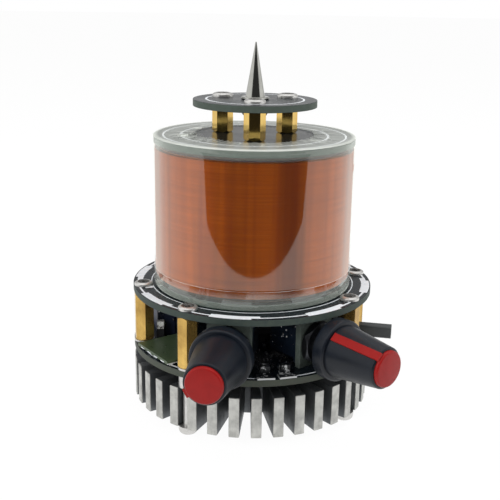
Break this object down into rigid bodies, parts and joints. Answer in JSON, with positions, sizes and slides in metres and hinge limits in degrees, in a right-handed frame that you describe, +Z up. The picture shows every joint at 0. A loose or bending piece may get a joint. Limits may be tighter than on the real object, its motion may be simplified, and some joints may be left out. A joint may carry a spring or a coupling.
{
  "type": "desktop resonant transformer",
  "caption": "Small demonstration resonant transformer: copper coil in clear film on a round driver stack with two knobs, a push switch and a finned heat sink, pointed spike on top.",
  "frame": {"origin": "centre of the heat sink's flat underside, which the feet hold 2 mm above the table", "axes": "+Z up along the coil's axis, front with the two knobs towards -Y, push switch on the +X side, power socket at +Y"},
  "size_m": [0.0635, 0.0745, 0.0901],
  "materials": {
    "sink": "bead-blasted, ends milled bright",
    "screws": "nickel plated, polished",
    "steel": "plain",
    "spike": "polished",
    "brass": "turned, drawn flats",
    "board": "black solder mask, grey-green glass fibre edge",
    "flange": "black solder mask, grey-green edge",
    "wire": "copper wire under amber enamel",
    "former": "plain tube",
    "film": "clear shrink film",
    "knob": "black, fine satin",
    "cap": "red",
    "pot": "moulded",
    "black_plastic": "moulded",
    "can": "printed-free sleeve over aluminium",
    "film_cap": "dipped box",
    "ferrite": "pressed",
    "module": "olive green solder mask",
    "pad": "soft heat-conducting sheet",
    "solder": "tinned"
  },
  "bodies": {
    "base": {"heat_sink": "sink", "foot_screws": "screws", "sink_spacers": "screws", "thermal_pads": "pad", "power_transistors": "black_plastic", "driver_board": "board", "side_screws": "screws", "base_standoffs": "brass", "standoff_washers": "screws", "coil_board": "board", "coil_board_screws": "screws", "coil_mount_screws": "screws", "coil_mount_nuts": "steel", "bottom_flange": "flange", "coil_former": "former", "secondary_core": "wire", "secondary_winding": "wire", "shrink_sleeve": "film", "top_flange": "flange", "top_standoffs": "brass", "top_flange_screws": "screws", "top_disc": "board", "top_disc_screws": "screws", "discharge_spike": "spike", "spike_nut": "steel", "left_pot_board": "board", "left_pot_body": "pot", "left_pot_bushing": "steel", "left_pot_nut": "steel", "right_pot_board": "board", "right_pot_body": "pot", "right_pot_bushing": "steel", "right_pot_nut": "steel", "switch_body": "black_plastic", "power_socket": "black_plastic", "socket_pin": "steel", "round_capacitors": "can", "film_capacitors": "film_cap", "driver_chip": "black_plastic", "storage_inductor": "ferrite", "wireless_module": "module", "board_terminals": "solder", "component_leads": "solder"},
    "left_control": {"left_pot_shaft": "steel", "left_knob": "knob", "left_knob_cap": "cap"},
    "right_control": {"right_pot_shaft": "steel", "right_knob": "knob", "right_knob_cap": "cap"},
    "button": {"switch_button": "black_plastic"}
  },
  "joints": [
    {"name": "left_knob_turn", "type": "hinge", "parent": "base", "child": "left_control", "pos_m": [-0.01268, -0.02719, 0.0203], "axis": [-0.4226, -0.9063, 0], "range_deg": [-270, 30]},
    {"name": "right_knob_turn", "type": "hinge", "parent": "base", "child": "right_control", "pos_m": [0.0098, -0.02103, 0.0203], "axis": [0.5, -0.866, 0], "range_deg": [-190, 110]},
    {"name": "switch_press", "type": "slide", "parent": "base", "child": "button", "axis": [-0.9135, 0.4067, 0], "range_m": [0, 0.0022], "stiffness_N_per_m": 800}
  ]
}
